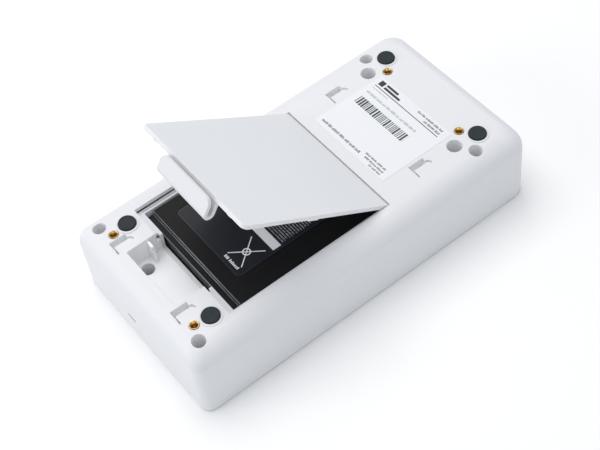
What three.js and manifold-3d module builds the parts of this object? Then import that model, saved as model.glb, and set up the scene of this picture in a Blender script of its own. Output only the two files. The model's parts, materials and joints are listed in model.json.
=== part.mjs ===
// Battery base of a desktop label printer, lying on its printer side with the battery door open.
// X runs across, Y runs along (the finger pocket is at -Y), Z is up. Z = 0 is the face it lies on.
import * as THREE from "three";
import { mergeVertices } from "three/addons/utils/BufferGeometryUtils.js";
import Module from "manifold-3d";

const wasm = await Module();
wasm.setup();

// ---- Driving dimensions, in millimetres ----

// Case
const caseWidth = 110;
const caseLength = 212.3;
const caseHeight = 44.8;
const caseWall = 2.8;
const deckThickness = 2.4; // the case's flat underside, which faces up here
const sideRound = 11.4; // how far each edge rounding reaches in from its wall
const nearRound = 7.8;
const farRound = 8.5;
const roundDepth = 10.3; // how far the edge roundings reach down from the deck
const rimRound = 1.8; // rounding at the face it lies on
const sideDraft = 0.02;
const nearCorner = 6; // plan radii of the corners
const farCorner = 9;
const gap = 0.3; // clearance between pieces that meet
const wide = 1; // extra length on a cut, so that it passes its face

// Battery pack
const cellRadius = 9;
const cellLength = 65;
const cellCount = 4;
const cellSpace = 0.25; // between two cells
const packSideWall = 1.2;
const packSkin = 1.4; // floor and roof of the pack
const packBoardRoom = 17.6; // far end of the pack, beyond the cells
const strapRoom = 0.8; // beyond the cells' near ends
const packBottomZ = 19;
const packStep = 3.8; // the near ledge of the upper shell
const packStepDrop = 2.4;
const packLabelEdge = 6; // from the label to the pack's far end

// Battery bay, door and latch
const bayGap = 0.6; // round the pack
const tipRoom = 2.7; // behind the pack, for its far top edge as it tips up
const trayWall = 1.8;
const ledgeDepth = 3.4; // of the door's ledge under the deck
const ledgeWidth = 2.4;
const nearLedge = 1.6;
const doorThickness = 2.4;
const doorGap = 0.4; // round the door
const doorOpenDeg = 33.6;
const knuckleRadius = 1.6;
const hingeSetback = 4; // from the pack's far end to the hinge
const pinRadius = 0.9;
const pinLength = 2.6;
const pinGap = 0.25;
const latchWidth = 39;
const latchSheet = 1.4;
const latchReach = 4.3; // past the door's near edge
const latchDepth = 12.6; // below the door's outer face

// Finger pocket
const pocketX = -0.8; // its middle
const pocketSideRoom = 1.5; // beside the latch
const pocketInset = 12.65; // from the case's near end
const pocketLength = 17.9; // up to the ledge
const pocketDepth = 13.8;
const ribRoom = 0.6; // between the latch and the catch rib

// Fasteners and feet
const footRadius = 4.65;
const footHeight = 1.5;
const footSeatDepth = 1;
const footRimWidth = 1.1;
const footRimHeight = 0.4;
const insertRadius = 2.45;
const insertBore = 1.3;
const insertLength = 6;
const insertProud = 0.4;
const screwHole = 3.65;
const screwHead = 2.9;
const screwShank = 1.5;
const screwSeatZ = 20;
const printerHole = 4.2;
const printerHead = 3.5;
const printerShank = 1.7;
const printerSeatZ = 12;
const seatThickness = 3;
const bossWall = 1.75;
const shankGap = 0.4;
const coverThickness = 2.4;

// Board and contacts
const boardWidth = 60;
const boardSetback = 7.3; // from the bay's far end
const boardScrewRoom = 5.8; // from the board's far edge to the middle of the printer screws
const boardZ = 9;
const boardThickness = 1.6;
const dockWidth = 26;
const dockSetback = 15; // from the board's near edge
const dockLength = 8;
const dockContacts = 6;
const dockPitch = 3.4;
const dockWall = 1.2;
const bayContacts = 5;
const bayPitch = 6;
const bayContactWidth = 2.4;
const blockWidth = 32;

// Rating label
const labelWidth = 56;
const labelEndRoom = 4.3; // from the label to the middle of the far inserts
const labelSetback = 6.5; // from the door opening

// Places on the deck: in from the case's long sides, and in from its near or far end
const footInset = { side: 18.6, near: 22.75, far: 20.25 };
const nearInsertInset = { side: 19.6, end: 13.75 };
const farInsertInset = { side: 26.5, end: 25.85 };
const cornerScrewInset = { side: 11.3, near: 10.45, far: 28.25 };
const printerScrewInset = { side: 20.5, end: 34.35 };
const farSlotInset = { side: 21.2, end: 55.35 };
const nearSlotSetback = 6; // beside the pocket
const pocketScrewInset = [5.9, 6.1]; // from the pocket's corner
const postInset = 4; // from the board's edges

// ---- Sizes that follow from them ----

const halfWidth = caseWidth / 2;
const halfLength = caseLength / 2;
const nearEnd = -halfLength;
const farEnd = halfLength;
const deckZ = caseHeight;
const deckUnder = deckZ - deckThickness;

const cellPitch = 2 * cellRadius + cellSpace;
const packHalf = (cellCount * cellPitch) / 2 + gap + packSideWall;
const ledgeNearY = nearEnd + pocketInset + pocketLength;
const bayNearY = ledgeNearY + nearLedge + trayWall;
const packNearY = bayNearY + bayGap;
const packFarY = packNearY + packStep + packSkin + strapRoom + cellLength + packBoardRoom;
const packTopZ = packBottomZ + 2 * (packSkin + gap + cellRadius);
const packMidZ = (packBottomZ + packTopZ) / 2;
const cellFarY = packFarY - packBoardRoom;
const cellNearY = cellFarY - cellLength;

const bayHalf = packHalf + bayGap;
const bayFarY = packFarY + tipRoom;
const bayFloorZ = packBottomZ - gap;
const ledgeZ = deckZ - ledgeDepth;
const ledgeHalf = bayHalf + ledgeWidth;

const hingeY = packFarY + hingeSetback;
const doorHalf = ledgeHalf;
const openingHalf = doorHalf + doorGap;
const openingNearY = ledgeNearY - doorGap;
const openingFarY = hingeY + knuckleRadius + doorGap;
const hingeZ = deckZ - knuckleRadius;
const doorReach = hingeY - ledgeNearY; // from the hinge to the door's near edge
const pocketFloorZ = deckZ - pocketDepth;
const pocketMinX = pocketX - latchWidth / 2 - pocketSideRoom;
const pocketMaxX = pocketX + latchWidth / 2 + pocketSideRoom;
const pocketNearY = nearEnd + pocketInset;
const latchX = pocketMaxX - latchWidth / 2 - doorGap;

const boardNearY = bayFarY + boardSetback;
const boardFarY = farEnd - printerScrewInset.end - boardScrewRoom;
const dockNearY = boardNearY + dockSetback;
const dockFarY = dockNearY + dockLength;

// The left and right place of a pair, in from the long sides
function pair(side, y) {
  return [[-halfWidth + side, y], [halfWidth - side, y]];
}

const feet = [
  ...pair(footInset.side, nearEnd + footInset.near),
  ...pair(footInset.side, farEnd - footInset.far),
];
const inserts = [
  ...pair(nearInsertInset.side, nearEnd + nearInsertInset.end),
  ...pair(farInsertInset.side, farEnd - farInsertInset.end),
];
const cornerScrews = [
  ...pair(cornerScrewInset.side, nearEnd + cornerScrewInset.near),
  ...pair(cornerScrewInset.side, farEnd - cornerScrewInset.far),
];
const printerScrews = pair(printerScrewInset.side, farEnd - printerScrewInset.end);
const pocketScrew = [pocketMinX + pocketScrewInset[0], pocketNearY + pocketScrewInset[1]];
const hookSlots = [
  [pocketMinX - nearSlotSetback, pocketNearY + 2.1],
  [pocketMaxX + nearSlotSetback, pocketNearY + 2.1],
  ...pair(farSlotInset.side, farEnd - farSlotInset.end),
];
const boardPosts = [boardNearY + postInset, boardFarY - postInset].flatMap((y) => [
  [-boardWidth / 2 + postInset, y],
  [boardWidth / 2 - postInset, y],
]);

// ---- Materials ----

function finish(color, roughness, metalness = 0) {
  return new THREE.MeshStandardMaterial({ color, roughness, metalness });
}

const whiteCase = finish(0xf0f0f2, 0.5);
const whiteDoor = finish(0xe2e3e6, 0.5);
const slateRubber = finish(0x383f46, 0.9);
const brass = finish(0xb98a45, 0.35, 1);
const steel = finish(0x8f9296, 0.35, 1);
const nickel = finish(0xb9b7ae, 0.3, 1);
const labelFilm = finish(0xf6f7f9, 0.4);
const blackShell = finish(0x1d1d20, 0.45);
const packFilm = finish(0x22232b, 0.35);
const boardGreen = finish(0x1f5a37, 0.6);
const blackPart = finish(0x222222, 0.6);
const cellSleeve = finish(0x2f6fa8, 0.45);
const wireSleeve = finish(0x9c2a24, 0.55);

// ---- Solids ----

function toSolid(geometry) {
  geometry.deleteAttribute("normal");
  geometry.deleteAttribute("uv");
  const merged = mergeVertices(geometry, 1e-4);
  return new wasm.Manifold(
    new wasm.Mesh({
      numProp: 3,
      vertProperties: new Float32Array(merged.attributes.position.array),
      triVerts: new Uint32Array(merged.index.array),
    }),
  );
}

function toMesh(name, solid, material) {
  const { vertProperties, triVerts } = solid.getMesh();
  const geometry = new THREE.BufferGeometry();
  geometry.setAttribute("position", new THREE.BufferAttribute(vertProperties, 3));
  geometry.setIndex(new THREE.BufferAttribute(triVerts, 1));
  geometry.computeVertexNormals();
  const mesh = new THREE.Mesh(geometry, material);
  mesh.name = name;
  return mesh;
}

function join(...solids) {
  return solids.reduce((whole, next) => whole.add(next));
}

function block(x0, x1, y0, y1, z0, z1) {
  const geometry = new THREE.BoxGeometry(x1 - x0, y1 - y0, z1 - z0);
  return toSolid(geometry.translate((x0 + x1) / 2, (y0 + y1) / 2, (z0 + z1) / 2));
}

// An upright cylinder
function post(x, y, z0, z1, radius, sides = 14) {
  const geometry = new THREE.CylinderGeometry(radius, radius, z1 - z0, sides);
  return toSolid(geometry.rotateX(Math.PI / 2).translate(x, y, (z0 + z1) / 2));
}

// A cylinder along X
function crossRod(x0, x1, y, z, radius, sides = 16) {
  const geometry = new THREE.CylinderGeometry(radius, radius, x1 - x0, sides);
  return toSolid(geometry.rotateZ(Math.PI / 2).translate((x0 + x1) / 2, y, z));
}

// A turned piece: the profile is a list of [radius, height] from the axis to the axis
function turned(profile, x, y, sides = 16) {
  const points = profile.map(([radius, height]) => new THREE.Vector2(radius, height));
  return toSolid(new THREE.LatheGeometry(points, sides).rotateX(Math.PI / 2).translate(x, y, 0));
}

// A flat outline, raised from z0 to z1
function slab(shape, z0, z1, curveSegments = 3) {
  const settings = { depth: z1 - z0, bevelEnabled: false, curveSegments };
  return toSolid(new THREE.ExtrudeGeometry(shape, settings).translate(0, 0, z0));
}

// A side outline of [y, z] points, drawn across from x0 to x1
function drawnAcross(shape, x0, x1, curveSegments = 5) {
  const settings = { depth: x1 - x0, bevelEnabled: false, curveSegments };
  const geometry = new THREE.ExtrudeGeometry(shape, settings);
  const toYZ = new THREE.Matrix4().makeBasis(
    new THREE.Vector3(0, 1, 0),
    new THREE.Vector3(0, 0, 1),
    new THREE.Vector3(1, 0, 0),
  );
  return toSolid(geometry.applyMatrix4(toYZ).translate(x0, 0, 0));
}

// A rectangle whose corners at the low and high end of Y have their own radii
function roundedOutline(x0, x1, y0, y1, lowRadius, highRadius = lowRadius) {
  const shape = new THREE.Shape();
  shape.moveTo(x0 + lowRadius, y0);
  shape.lineTo(x1 - lowRadius, y0);
  shape.absarc(x1 - lowRadius, y0 + lowRadius, lowRadius, -Math.PI / 2, 0);
  shape.lineTo(x1, y1 - highRadius);
  shape.absarc(x1 - highRadius, y1 - highRadius, highRadius, 0, Math.PI / 2);
  shape.lineTo(x0 + highRadius, y1);
  shape.absarc(x0 + highRadius, y1 - highRadius, highRadius, Math.PI / 2, Math.PI);
  shape.lineTo(x0, y0 + lowRadius);
  shape.absarc(x0 + lowRadius, y0 + lowRadius, lowRadius, Math.PI, 1.5 * Math.PI);
  return shape;
}

// A closed skin through rings that have the same number of points, flat at both ends
function loft(rings) {
  const count = rings[0].length;
  const index = [];
  for (let level = 0; level + 1 < rings.length; level++) {
    for (let i = 0; i < count; i++) {
      const a = level * count + i;
      const b = level * count + ((i + 1) % count);
      index.push(a, b, b + count, a, b + count, a + count);
    }
  }
  const flat = rings[0].map((point) => new THREE.Vector2(point.x, point.y));
  const top = (rings.length - 1) * count;
  for (const [a, b, c] of THREE.ShapeUtils.triangulateShape(flat, [])) {
    index.push(a, c, b, top + a, top + b, top + c);
  }
  const geometry = new THREE.BufferGeometry().setFromPoints(rings.flat());
  geometry.setIndex(index);
  return toSolid(geometry);
}

// ---- Case shape ----

// One ring of the case at a height: inset on all sides, and share = how far into the edge rounding
function caseRing(z, inset, share, wall) {
  const lean = sideDraft * z;
  const x = halfWidth - lean - inset - share * (sideRound - wall);
  const y0 = -halfLength + inset + share * (nearRound - wall);
  const y1 = halfLength - inset - share * (farRound - wall);
  const shrink = (inset + 3 * share) / 2;
  const low = Math.max(nearCorner - shrink, 2);
  const high = Math.max(farCorner - shrink, 2);
  const outline = roundedOutline(-x, x, y0, y1, low, high).getPoints(3);
  const ring = outline.filter((point, i) => i === 0 || point.distanceTo(outline[i - 1]) > 1e-4);
  if (ring[0].distanceTo(ring[ring.length - 1]) < 1e-4) ring.pop();
  return ring.map((point) => new THREE.Vector3(point.x, point.y, z));
}

// The case's outer body, or with a wall its inner space
function caseBody(wall, topZ, bottomZ) {
  const depth = roundDepth - (deckZ - topZ);
  const rings = [];
  const rimSteps = wall > 0 ? 0 : 3;
  for (let i = 0; i < rimSteps; i++) {
    const angle = (i / rimSteps) * (Math.PI / 2);
    rings.push(caseRing(rimRound * (1 - Math.cos(angle)), rimRound * (1 - Math.sin(angle)), 0, 0));
  }
  rings.push(caseRing(wall > 0 ? bottomZ : rimRound, wall, 0, wall));
  const steps = 6;
  for (let i = 0; i <= steps; i++) {
    const angle = (i / steps) * (Math.PI / 2);
    rings.push(caseRing(topZ - depth + depth * Math.sin(angle), wall, 1 - Math.cos(angle), wall));
  }
  return loft(rings);
}

// ---- Bottom case ----

function hookSlotOutline(x, y) {
  const shape = new THREE.Shape();
  shape.moveTo(x - 4.3, y - 5.9);
  shape.lineTo(x + 4.3, y - 5.9);
  shape.lineTo(x + 4.3, y - 5);
  shape.lineTo(x - 0.6, y - 5);
  shape.lineTo(x - 0.6, y + 3.2);
  shape.quadraticCurveTo(x - 0.4, y + 4.7, x + 1.3, y + 4.9);
  shape.lineTo(x + 0.9, y + 6);
  shape.quadraticCurveTo(x - 1.7, y + 5.7, x - 1.8, y + 3.7);
  shape.lineTo(x - 4.3, y + 3.7);
  shape.closePath();
  return shape;
}

// A screw hole from the top down to its seat, with the shank's hole below
function screwBore(x, y, topZ, seatZ, headHole, shankRadius) {
  const counterbore = post(x, y, seatZ, topZ + wide, headHole, 20);
  return counterbore.add(post(x, y, seatZ - seatThickness - wide, seatZ + wide, shankRadius + shankGap, 10));
}

function bottomCase() {
  const outer = caseBody(0, deckZ, 0);
  const space = caseBody(caseWall, deckUnder, -wide);
  const slotDepth = 6;
  const pocketSkin = 1.8;
  const bossFootZ = screwSeatZ - seatThickness;
  const inside = [];
  for (const [x, y] of [...cornerScrews, pocketScrew]) {
    const topZ = y === pocketScrew[1] ? pocketFloorZ : deckZ;
    inside.push(post(x, y, bossFootZ, topZ, screwHole + bossWall));
  }
  for (const [x, y] of printerScrews) {
    inside.push(post(x, y, printerSeatZ - seatThickness, deckZ, printerHole + bossWall));
  }
  for (const [x, y] of inserts) {
    inside.push(post(x, y, deckUnder - insertLength + 1, deckZ, insertRadius + gap + 1.6));
  }
  for (const [x, y] of hookSlots) {
    inside.push(block(x - 5.4, x + 5.4, y - 7, y + 7.1, deckZ - slotDepth - 1.6, deckZ - 1));
  }
  inside.push(
    block(
      pocketMinX - pocketSkin,
      pocketMaxX + pocketSkin,
      pocketNearY - pocketSkin,
      bayNearY - trayWall - gap,
      pocketFloorZ - pocketSkin,
      deckZ - 1,
    ),
  );
  const socketMinX = openingHalf;
  const socketMaxX = openingHalf + pinLength + 2;
  for (const side of [-1, 1]) {
    const x0 = Math.min(side * socketMinX, side * socketMaxX);
    const x1 = Math.max(side * socketMinX, side * socketMaxX);
    inside.push(block(x0, x1, hingeY - 3, hingeY + 3, hingeZ - 2.6, deckZ - 1));
  }
  let solid = outer.subtract(space).add(join(...inside).intersect(outer));

  for (const [x, y] of feet) {
    const seatRadius = footRadius + gap;
    solid = solid.add(post(x, y, deckUnder, deckZ + footRimHeight, seatRadius + footRimWidth, 24));
    solid = solid.subtract(post(x, y, deckZ - footSeatDepth, deckZ + wide, seatRadius, 24));
  }
  const cuts = [
    block(-openingHalf, openingHalf, openingNearY, openingFarY, deckUnder - wide, deckZ + wide),
    slab(
      roundedOutline(pocketMinX, pocketMaxX, pocketNearY, openingFarY, 1, 1),
      pocketFloorZ,
      deckZ + wide,
    ).intersect(block(-halfWidth, halfWidth, -halfLength, openingNearY + wide, 0, deckZ + wide)),
    block(pocketMinX, pocketMaxX, openingNearY, bayNearY, pocketFloorZ, deckZ + wide),
    block(-ledgeHalf - gap, ledgeHalf + gap, openingNearY, bayNearY, ledgeZ - 3, deckZ + wide),
    crossRod(-openingHalf - pinLength, openingHalf + pinLength, hingeY, hingeZ, pinRadius + pinGap),
    block(-11.5, -4.1, nearEnd - wide, nearEnd + 1, 14.6, 15.4), // slit in the near wall
  ];
  for (const [x, y] of cornerScrews) {
    cuts.push(screwBore(x, y, deckZ, screwSeatZ, screwHole, screwShank));
  }
  cuts.push(screwBore(...pocketScrew, pocketFloorZ, screwSeatZ, screwHole, screwShank));
  for (const [x, y] of printerScrews) {
    cuts.push(screwBore(x, y, deckZ, printerSeatZ, printerHole, printerShank));
  }
  for (const [x, y] of inserts) {
    const floorZ = deckZ + insertProud - insertLength - gap;
    cuts.push(post(x, y, floorZ, deckZ + wide, insertRadius + gap, 16));
  }
  for (const [x, y] of hookSlots) {
    cuts.push(slab(hookSlotOutline(x, y), deckZ - slotDepth, deckZ + wide, 4));
  }
  solid = solid.subtract(join(...cuts));

  // the catch rib in the finger pocket
  const ribFarY = ledgeNearY - latchReach - ribRoom;
  const ribNearY = ribFarY - 1.5;
  const ribFootZ = pocketFloorZ - 1;
  const rib = block(pocketMinX - 1, pocketMinX + 4, ribNearY, ribFarY, ribFootZ, deckZ - 1.6);
  const ribEnd = block(pocketMinX + 3, pocketMinX + 5.4, ribNearY, ribFarY, ribFootZ, deckZ - 3);
  return solid.add(rib).add(ribEnd);
}

// ---- Battery tray ----

function batteryTray() {
  const outerHalf = bayHalf + trayWall;
  const nearY = bayNearY - trayWall;
  const farY = bayFarY + trayWall;
  const kneeY = hingeY - knuckleRadius - 0.6; // the ledge stops in front of the door's knuckle
  const tub = block(-outerHalf, outerHalf, nearY, farY, bayFloorZ - trayWall, ledgeZ);
  const ledge = block(-ledgeHalf, ledgeHalf, ledgeNearY, kneeY, ledgeZ - 2, ledgeZ);
  const bay = block(-bayHalf, bayHalf, bayNearY, bayFarY, bayFloorZ, ledgeZ + wide);
  const reliefZ = hingeZ - knuckleRadius - 0.8;
  const hingeRelief = block(-halfWidth, halfWidth, kneeY, farY + wide, reliefZ, ledgeZ + wide);
  const pocketSide = block(
    pocketMinX - gap,
    pocketMaxX + gap,
    ledgeNearY - wide,
    bayNearY + wide,
    pocketFloorZ,
    ledgeZ + wide,
  );
  const pocketLedge = block(
    pocketMinX - 2.2,
    pocketMaxX + 2.2,
    ledgeNearY - wide,
    nearY,
    ledgeZ - 3,
    ledgeZ + wide,
  );
  const grooveHalf = ledgeHalf - 0.5;
  const lipHalf = bayHalf + 0.7;
  const grooveOuter = block(-grooveHalf, grooveHalf, bayNearY, kneeY - 2, ledgeZ - 0.8, ledgeZ + wide);
  const grooveInner = block(-lipHalf, lipHalf, bayNearY - wide, kneeY, ledgeZ - 2, ledgeZ + 2);
  const contactWindow = block(
    -blockWidth / 2 - gap,
    blockWidth / 2 + gap,
    bayFarY - wide,
    farY + wide,
    bayFloorZ + 1,
    packMidZ + 1,
  );
  return tub
    .add(ledge)
    .subtract(bay)
    .subtract(join(hingeRelief, pocketSide, pocketLedge, contactWindow))
    .subtract(grooveOuter.subtract(grooveInner));
}

// ---- Top cover, on the printer's side ----

function topCover() {
  const inset = caseWall + gap;
  const plate = slab(
    roundedOutline(
      -halfWidth + inset,
      halfWidth - inset,
      -halfLength + inset,
      halfLength - inset,
      nearCorner - inset / 2,
      farCorner - inset / 2,
    ),
    0,
    coverThickness,
  );
  const postTopZ = screwSeatZ - seatThickness - gap;
  const posts = [];
  const bores = [];
  for (const [x, y] of [...cornerScrews, pocketScrew]) {
    posts.push(post(x, y, coverThickness - 1, postTopZ, screwShank + shankGap + 1.8, 12));
    bores.push(post(x, y, coverThickness, postTopZ + wide, screwShank + gap, 8));
  }
  for (const [x, y] of boardPosts) {
    posts.push(post(x, y, coverThickness - 1, boardZ - gap, 2.8, 12));
    bores.push(post(x, y, coverThickness, boardZ + wide, 1.4, 8));
  }
  for (const [x, y] of printerScrews) {
    bores.push(post(x, y, -wide, coverThickness + wide, printerShank + shankGap));
  }
  // ribs under the tray's floor
  for (const y of [bayNearY + 8, (bayNearY + bayFarY) / 2, bayFarY - 8]) {
    posts.push(block(-bayHalf, bayHalf, y - 1, y + 1, coverThickness - 1, bayFloorZ - trayWall - gap));
  }
  const edge = dockWidth / 2 + gap;
  const dockWindow = block(-edge, edge, dockNearY - gap, dockFarY + gap, -wide, coverThickness + wide);
  return join(plate, ...posts).subtract(join(dockWindow, ...bores));
}

// ---- Feet, inserts and screws ----

function rubberFoot(x, y) {
  const low = deckZ - footSeatDepth + gap;
  const high = deckZ + footHeight;
  const profile = [
    [0, low],
    [footRadius, low],
    [footRadius, high - 0.4],
    [footRadius - 0.4, high],
    [0, high],
  ];
  return turned(profile, x, y, 24);
}

function threadedInsert(x, y) {
  const high = deckZ + insertProud;
  const low = high - insertLength;
  const groove = insertRadius - 0.35;
  const middle = (low + high) / 2;
  const profile = [
    [insertBore, low],
    [insertRadius, low],
    [insertRadius, middle - 0.5],
    [groove, middle - 0.3],
    [groove, middle + 0.3],
    [insertRadius, middle + 0.5],
    [insertRadius, high],
    [insertBore + 0.4, high],
    [insertBore, high - 0.4],
    [insertBore, low],
  ];
  return turned(profile, x, y);
}

// A pan-head screw with a cross recess, its head resting just above seatZ
function crossScrew(x, y, seatZ, headRadius, headHeight, shankRadius, tipZ) {
  const under = seatZ + gap;
  const top = under + headHeight;
  const profile = [
    [0, tipZ],
    [shankRadius, tipZ],
    [shankRadius, under],
    [headRadius, under],
    [headRadius, top - 0.5],
    [headRadius - 0.5, top],
    [0, top],
  ];
  const arm = headRadius * 0.6;
  const recess = block(x - arm, x + arm, y - 0.35, y + 0.35, top - 1.1, top + wide);
  const across = block(x - 0.35, x + 0.35, y - arm, y + arm, top - 1.1, top + wide);
  return turned(profile, x, y, 12).subtract(recess.add(across));
}

function ratingLabel() {
  const nearY = openingFarY + labelSetback;
  const farY = farEnd - farInsertInset.end - labelEndRoom;
  const outline = roundedOutline(-labelWidth / 2, labelWidth / 2, nearY, farY, 1);
  return slab(outline, deckZ + 0.03, deckZ + 0.15);
}

// ---- Door and latch, in the hinge's own frame: closed, hinge axis at the origin ----

const doorTopZ = knuckleRadius;
const doorUnderZ = doorTopZ - doorThickness;

function batteryDoor() {
  const outline = roundedOutline(-doorHalf, doorHalf, -doorReach, 0, 3, 0.01);
  const panel = slab(outline, doorUnderZ, doorTopZ);
  const knuckle = crossRod(-doorHalf, doorHalf, 0, 0, knuckleRadius);
  const pins = crossRod(-doorHalf - pinLength + doorGap, doorHalf + pinLength - doorGap, 0, 0, pinRadius);
  const ribDrop = 0.5;
  const sideTabs = [];
  for (const side of [-1, 1]) {
    const x0 = side > 0 ? doorHalf - 1.4 : -doorHalf;
    const stepX = side > 0 ? 28 : -31;
    const nearY = -doorReach + 0.6;
    const low = doorUnderZ - ribDrop;
    sideTabs.push(block(x0, x0 + 1.4, -55, -48.3, low, doorUnderZ + 1));
    sideTabs.push(block(stepX, stepX + 3, nearY, nearY + 2.4, low, doorUnderZ + 1));
  }
  return join(panel, knuckle, pins, ...sideTabs);
}

// The latch's side outline: down from the door, round the bend and up past its near edge
function latchOutline() {
  const backY = -doorReach + 2.6; // inner face of the back leg
  const frontY = -doorReach - latchReach;
  const outerBend = (backY - frontY) / 2;
  const innerBend = outerBend - latchSheet;
  const middleY = (backY + frontY) / 2;
  const bendZ = doorTopZ - latchDepth + outerBend;
  const rootZ = doorUnderZ - gap;
  const tipZ = doorTopZ - 1.3;
  const shape = new THREE.Shape();
  shape.moveTo(backY, rootZ);
  shape.lineTo(backY - latchSheet, rootZ);
  shape.lineTo(backY - latchSheet, bendZ);
  shape.absarc(middleY, bendZ, innerBend, 0, -Math.PI, true);
  shape.lineTo(frontY + latchSheet, tipZ);
  shape.lineTo(frontY, tipZ);
  shape.lineTo(frontY, bendZ);
  shape.absarc(middleY, bendZ, outerBend, -Math.PI, 0, false);
  shape.closePath();
  return shape;
}

function doorLatch() {
  return drawnAcross(latchOutline(), latchX - latchWidth / 2, latchX + latchWidth / 2);
}

// ---- Battery pack ----

function packLower() {
  const shell = block(-packHalf, packHalf, packNearY, packFarY, packBottomZ, packMidZ - gap / 2);
  const space = block(
    -packHalf + packSideWall,
    packHalf - packSideWall,
    packNearY + packSkin,
    packFarY - packSkin,
    packBottomZ + packSkin,
    packMidZ + wide,
  );
  const padWindow = block(
    -bayPitch * 2 - 2,
    bayPitch * 2 + 2,
    packFarY - packSkin - wide,
    packFarY + wide,
    packBottomZ + 3,
    packBottomZ + 9,
  );
  return shell.subtract(space).subtract(padWindow);
}

function packUpper() {
  const low = packMidZ + gap / 2;
  const ledgeTop = packTopZ - packStepDrop;
  const shell = block(-packHalf, packHalf, packNearY, packFarY, low, packTopZ);
  const stepFarY = packNearY + packStep;
  const stepHalf = packHalf + wide;
  const step = block(-stepHalf, stepHalf, packNearY - wide, stepFarY, ledgeTop, packTopZ + wide);
  const space = block(
    -packHalf + packSideWall,
    packHalf - packSideWall,
    packNearY + packSkin,
    packFarY - packSkin,
    low - wide,
    ledgeTop - packSkin,
  );
  const cellRoom = block(
    -packHalf + packSideWall,
    packHalf - packSideWall,
    stepFarY + packSkin,
    packFarY - packSkin,
    low - wide,
    packTopZ - packSkin,
  );
  const [x0, x1, y0, y1] = packLabelEdges();
  const labelSeat = block(x0 - 0.3, x1 + 0.3, y0 - 0.3, y1 + 0.3, packTopZ - 0.4, packTopZ + wide);
  return shell.subtract(join(step, space, cellRoom, labelSeat));
}

function packLabelEdges() {
  return [-packHalf + 8.4, packHalf - 13.6, packNearY + 12.2, packFarY - packLabelEdge];
}

function packLabel() {
  const [x0, x1, y0, y1] = packLabelEdges();
  return slab(roundedOutline(x0, x1, y0, y1, 2.5), packTopZ - 0.3, packTopZ - 0.05);
}

function cellX(i) {
  return (i - (cellCount - 1) / 2) * cellPitch;
}

function cell(i) {
  const geometry = new THREE.CylinderGeometry(cellRadius, cellRadius, cellLength, 28);
  return toSolid(geometry.translate(cellX(i), (cellNearY + cellFarY) / 2, packMidZ));
}

function cellStrap(y) {
  return block(-cellX(cellCount - 1) - 5, -cellX(0) + 5, y - 0.15, y + 0.15, packMidZ - 3, packMidZ + 3);
}

function packBoard() {
  return block(-30, 30, cellFarY + 2, packFarY - packSkin - 2.6, packMidZ - 0.8, packMidZ + 0.8);
}

function packTerminals() {
  const back = packFarY - packSkin - 2;
  const half = bayPitch * 2 + 4;
  const body = block(-half, half, back, back + 1.7, packBottomZ + 2.4, packBottomZ + 9.4);
  const pads = [];
  for (let i = 0; i < bayContacts; i++) {
    const x = (i - (bayContacts - 1) / 2) * bayPitch;
    pads.push(block(x - 1.8, x + 1.8, back + 1, packFarY, packBottomZ + 3.4, packBottomZ + 8.6));
  }
  return join(body, ...pads);
}

// ---- Contacts in the bay ----

function contactBlock() {
  const near = bayFarY + 0.6;
  const far = near + 9;
  const body = block(-blockWidth / 2, blockWidth / 2, near, far, bayFloorZ + 1.6, packMidZ + 0.4);
  const slots = [];
  for (let i = 0; i < bayContacts; i++) {
    const x = (i - (bayContacts - 1) / 2) * bayPitch;
    const half = bayContactWidth / 2 + gap;
    slots.push(block(x - half, x + half, near - wide, near + 4, bayFloorZ + 3, packMidZ - 1));
  }
  return body.subtract(join(...slots));
}

// A bowed spring strip that meets the pack's pad
function bayContact(i) {
  const x = (i - (bayContacts - 1) / 2) * bayPitch;
  const back = bayFarY + 4.2;
  const tipY = packFarY + gap;
  const low = bayFloorZ + 3.6;
  const high = packMidZ - 1.6;
  const middle = (low + high) / 2;
  const sheet = 0.35;
  const bendY = back - 3;
  const shape = new THREE.Shape();
  shape.moveTo(back, low);
  shape.lineTo(bendY, low);
  shape.quadraticCurveTo(tipY, low + 0.6, tipY, middle);
  shape.quadraticCurveTo(tipY, high - 0.6, bendY, high);
  shape.lineTo(bendY, high - sheet);
  shape.quadraticCurveTo(tipY + sheet, high - 0.6 - sheet, tipY + sheet, middle);
  shape.quadraticCurveTo(tipY + sheet, low + 0.6 + sheet, bendY, low + sheet);
  shape.lineTo(back, low + sheet);
  shape.closePath();
  return drawnAcross(shape, x - bayContactWidth / 2, x + bayContactWidth / 2, 4);
}

// ---- Main board ----

const boardTopZ = boardZ + boardThickness;

function mainBoard() {
  const plate = block(-boardWidth / 2, boardWidth / 2, boardNearY, boardFarY, boardZ, boardTopZ);
  const holes = boardPosts.map(([x, y]) => post(x, y, boardZ - wide, boardTopZ + wide, 1.5, 8));
  return plate.subtract(join(...holes));
}

function boardScrew(x, y) {
  return crossScrew(x, y, boardTopZ, 2.3, 1.5, 1.1, 4);
}

function dockingConnector() {
  const topZ = boardZ - gap;
  const body = block(-dockWidth / 2, dockWidth / 2, dockNearY, dockFarY, 1, topZ);
  const mouth = block(
    -dockWidth / 2 + dockWall,
    dockWidth / 2 - dockWall,
    dockNearY + dockWall,
    dockFarY - dockWall,
    1 - wide,
    topZ - 1.6,
  );
  return body.subtract(mouth);
}

function dockingContact(i) {
  const x = (i - (dockContacts - 1) / 2) * dockPitch;
  const wallY = dockFarY - dockWall;
  return block(x - 0.8, x + 0.8, wallY - 0.55, wallY - 0.2, 2, boardZ - gap - 1.6 - 0.2);
}

function harnessPlug() {
  const nearY = boardNearY + 10;
  return block(-7, 7, nearY, nearY + 4.5, boardTopZ + gap, boardTopZ + 5.5);
}

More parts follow.
